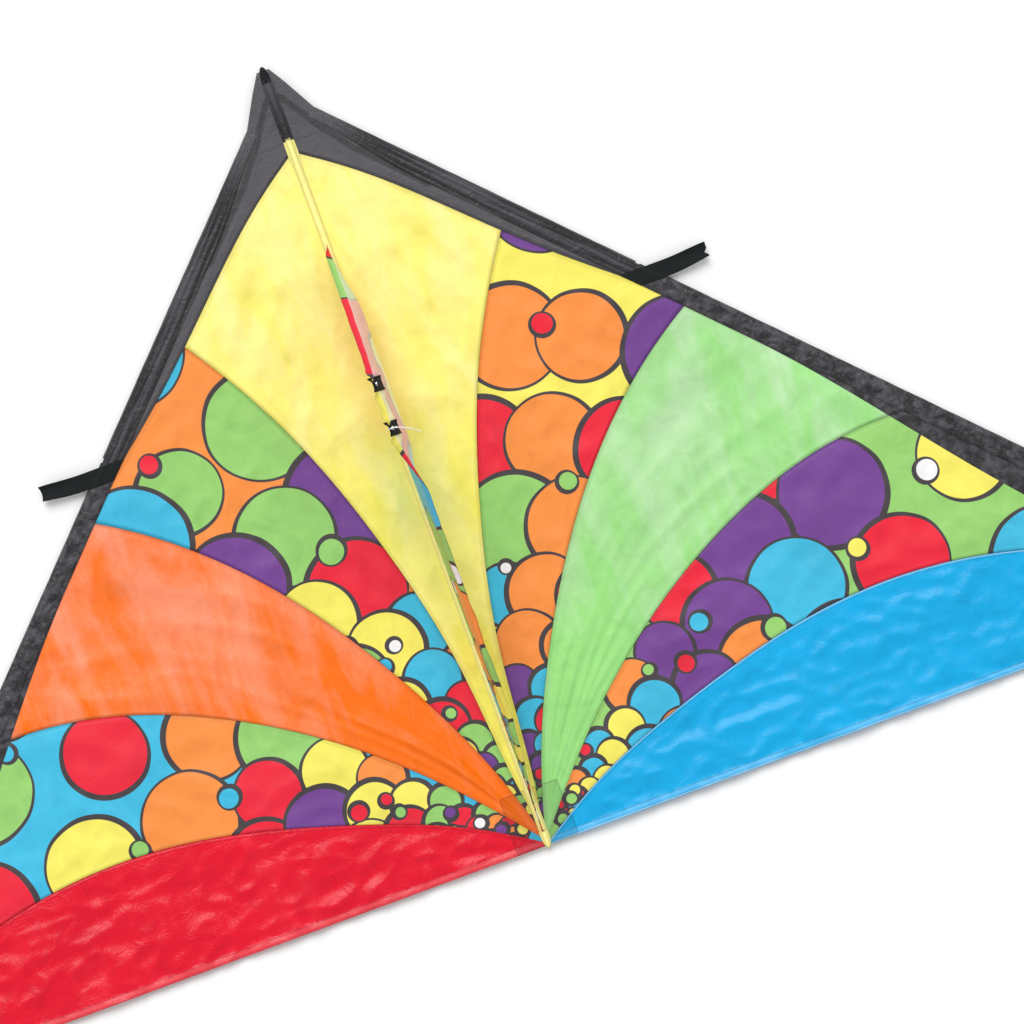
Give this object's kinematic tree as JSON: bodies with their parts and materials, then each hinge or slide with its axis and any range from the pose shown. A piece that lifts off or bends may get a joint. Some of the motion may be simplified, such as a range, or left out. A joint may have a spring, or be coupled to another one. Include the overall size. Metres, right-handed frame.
{
  "type": "delta kite",
  "caption": "Delta kite of sewn cloth panels on rods, with a swinging keel, folding wings, a two-piece spreader, pull tabs and tow eyelets.",
  "frame": {"origin": "middle of the kite's outline, on the surface that it lies on, keel up", "axes": "+X to the right wing tip, +Y to the nose, +Z out of the front, along the standing keel"},
  "size_m": [2.743, 1.45, 0.337],
  "materials": {
    "cloth_black": "coated taffeta, semi-gloss",
    "cloth_yellow": "taffeta, matt",
    "cloth_green": "taffeta, matt",
    "cloth_orange": "taffeta, semi-gloss",
    "cloth_red": "taffeta, semi-gloss",
    "cloth_blue": "taffeta, semi-gloss",
    "cloth_print": "printed taffeta, matt",
    "webbing_black": "woven polypropylene",
    "spar_rod": "pultruded glass fibre",
    "ferrule_metal": "drawn tube",
    "cap_rubber": "moulded rubber",
    "fitting_plastic": "moulded nylon",
    "vinyl_black": "flexible vinyl tube",
    "eyelet_metal": "nickel-plated brass",
    "string_white": "braided polyester"
  },
  "bodies": {
    "spine": {"spine_rod_upper": "spar_rod", "spine_rod_lower": "spar_rod", "spine_ferrule": "ferrule_metal", "spine_end_caps": "cap_rubber", "nose_pocket": "webbing_black", "spine_tunnel_black": "cloth_black", "spine_tunnel_yellow": "cloth_yellow", "tail_pocket": "cloth_yellow", "spine_strip": "cloth_yellow", "spreader_centre_tube": "vinyl_black"},
    "wing_right": {"sleeve_right": "cloth_black", "nose_panel_right": "cloth_black", "yellow_panel_right": "cloth_yellow", "inner_print_right": "cloth_print", "green_petal_right": "cloth_green", "outer_print_right": "cloth_print", "blue_tail_right": "cloth_blue", "nose_patch_right": "cloth_black", "base_patch_right": "cloth_yellow", "tip_pocket_right": "webbing_black", "spar_upper_right": "spar_rod", "spar_lower_right": "spar_rod", "spar_ferrule_right": "ferrule_metal", "spar_end_caps_right": "cap_rubber", "spreader_fitting_right": "fitting_plastic", "tab_anchor_right": "webbing_black"},
    "spreader_right": {"spreader_rod_right": "spar_rod", "spreader_end_right": "fitting_plastic"},
    "pull_tab_right": {"pull_tab_right": "webbing_black"},
    "wing_left": {"sleeve_left": "cloth_black", "nose_panel_left": "cloth_black", "yellow_panel_left": "cloth_yellow", "inner_print_left": "cloth_print", "orange_petal_left": "cloth_orange", "outer_print_left": "cloth_print", "red_tail_left": "cloth_red", "nose_patch_left": "cloth_black", "base_patch_left": "cloth_yellow", "tip_pocket_left": "webbing_black", "spar_upper_left": "spar_rod", "spar_lower_left": "spar_rod", "spar_ferrule_left": "ferrule_metal", "spar_end_caps_left": "cap_rubber", "spreader_fitting_left": "fitting_plastic", "tab_anchor_left": "webbing_black"},
    "spreader_left": {"spreader_rod_left": "spar_rod", "spreader_end_left": "fitting_plastic"},
    "pull_tab_left": {"pull_tab_left": "webbing_black"},
    "keel": {"keel_fin": "cloth_print", "tow_tab_front": "webbing_black", "tow_tab_rear": "webbing_black", "tow_eyelets": "eyelet_metal"},
    "string": {"string_ring": "string_white", "string_knot": "string_white", "string_tail": "string_white"}
  },
  "joints": [
    {"name": "wing_fold_right", "type": "hinge", "parent": "spine", "child": "wing_right", "pos_m": [0.0065, 0, 0.006], "axis": [0, 1, 0], "range_deg": [0, 80], "deforming": ["spreader_centre_tube"]},
    {"name": "wing_fold_left", "type": "hinge", "parent": "spine", "child": "wing_left", "pos_m": [-0.0065, 0, 0.006], "axis": [0, -1, 0], "range_deg": [0, 80], "deforming": ["spreader_centre_tube"]},
    {"name": "spreader_swing_right", "type": "hinge", "parent": "wing_right", "child": "spreader_right", "pos_m": [0.49926, 0.153, 0.006], "axis": [0, 0, -1], "range_deg": [0, 40]},
    {"name": "spreader_swing_left", "type": "hinge", "parent": "wing_left", "child": "spreader_left", "pos_m": [-0.49926, 0.153, 0.006], "axis": [0, 0, 1], "range_deg": [0, 40]},
    {"name": "keel_flop", "type": "hinge", "parent": "spine", "child": "keel", "pos_m": [0, 0, 0.023], "axis": [0, 1, 0], "range_deg": [-80, 80], "stiffness_Nm_per_rad": 0.6},
    {"name": "pull_tab_bend_right", "type": "hinge", "parent": "wing_right", "child": "pull_tab_right", "pos_m": [0.52572, 0.153, 0.0127], "axis": [0.696, -0.718, 0], "range_deg": [-80, 80], "stiffness_Nm_per_rad": 0.02},
    {"name": "pull_tab_bend_left", "type": "hinge", "parent": "wing_left", "child": "pull_tab_left", "pos_m": [-0.52572, 0.153, 0.0127], "axis": [-0.696, -0.718, 0], "range_deg": [-80, 80], "stiffness_Nm_per_rad": 0.02},
    {"name": "string_swing", "type": "hinge", "parent": "keel", "child": "string", "pos_m": [0, 0.05, 0.314], "axis": [1, 0, 0], "range_deg": [-40, 40]}
  ]
}
